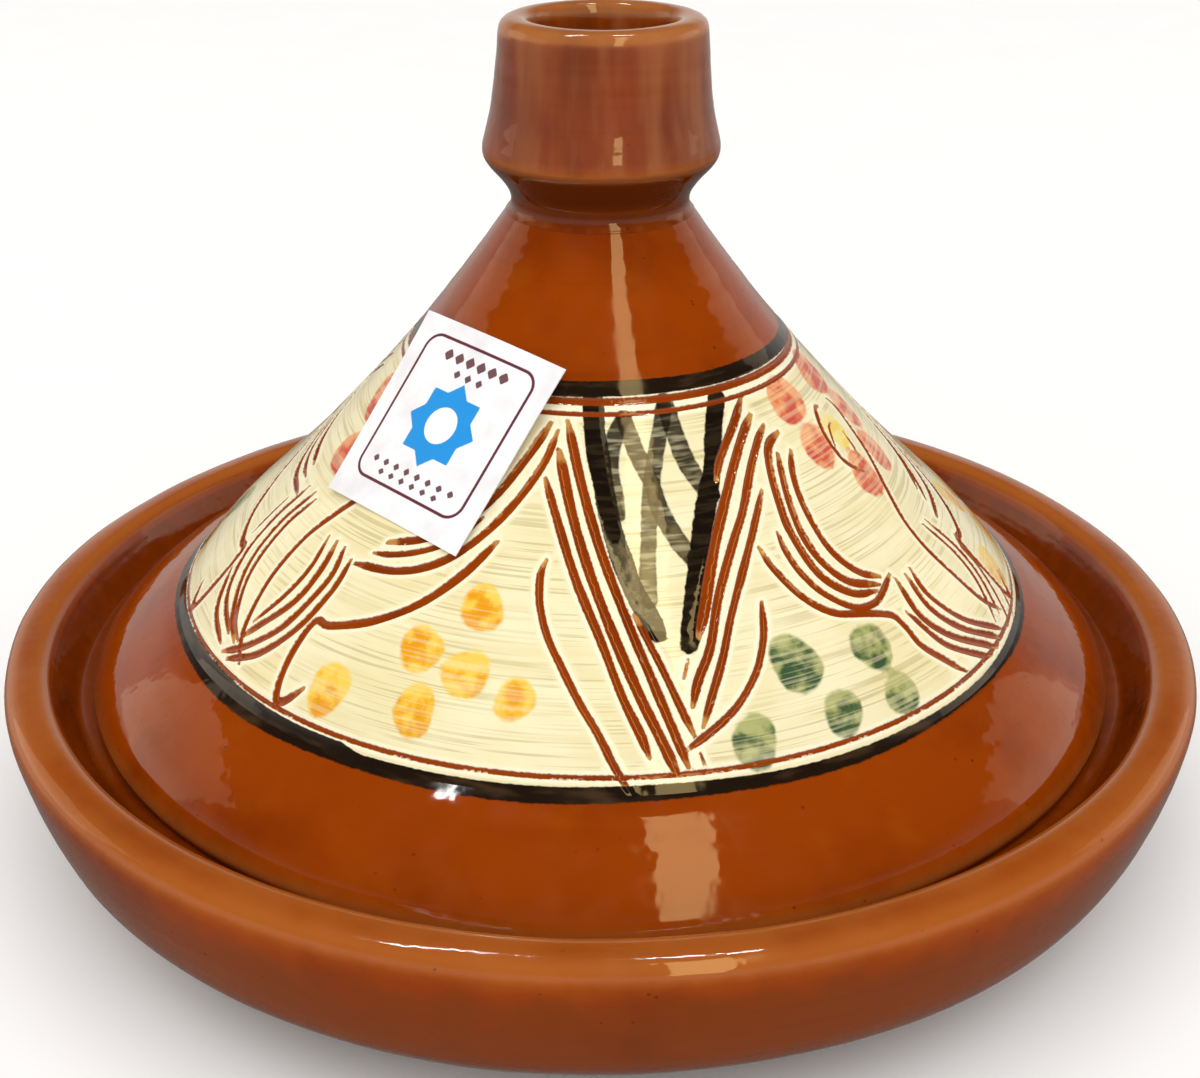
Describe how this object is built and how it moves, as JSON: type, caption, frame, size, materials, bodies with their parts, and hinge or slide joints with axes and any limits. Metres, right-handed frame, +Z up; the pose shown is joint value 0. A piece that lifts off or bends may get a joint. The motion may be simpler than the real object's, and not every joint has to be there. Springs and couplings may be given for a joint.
{
  "type": "tagine pot",
  "caption": "Round glazed clay cooking dish with a tall conical lid that lifts off, a hollow knob on top and an incised, painted band round the cone.",
  "frame": {"origin": "centre of the dish's foot, on the surface it stands on", "axes": "+Z up along the axis of the dish and lid, -Y towards the front"},
  "size_m": [0.322, 0.322, 0.2182],
  "materials": {
    "dish_glaze": "glossy clear glaze over red-brown clay",
    "lid_glaze": "glossy clear glaze over cream slip with incised and painted decoration, brown clay above and below",
    "knob_glaze": "glossy clear glaze over red-brown clay",
    "label_paper": "coated white paper, printed"
  },
  "bodies": {
    "dish": {"dish": "dish_glaze"},
    "lid": {"lid_cone": "lid_glaze", "lid_knob": "knob_glaze", "label": "label_paper"}
  },
  "joints": [
    {"name": "lid_lift", "type": "slide", "parent": "dish", "child": "lid", "axis": [0, 0, 1], "range_m": [0, 0.15]}
  ]
}
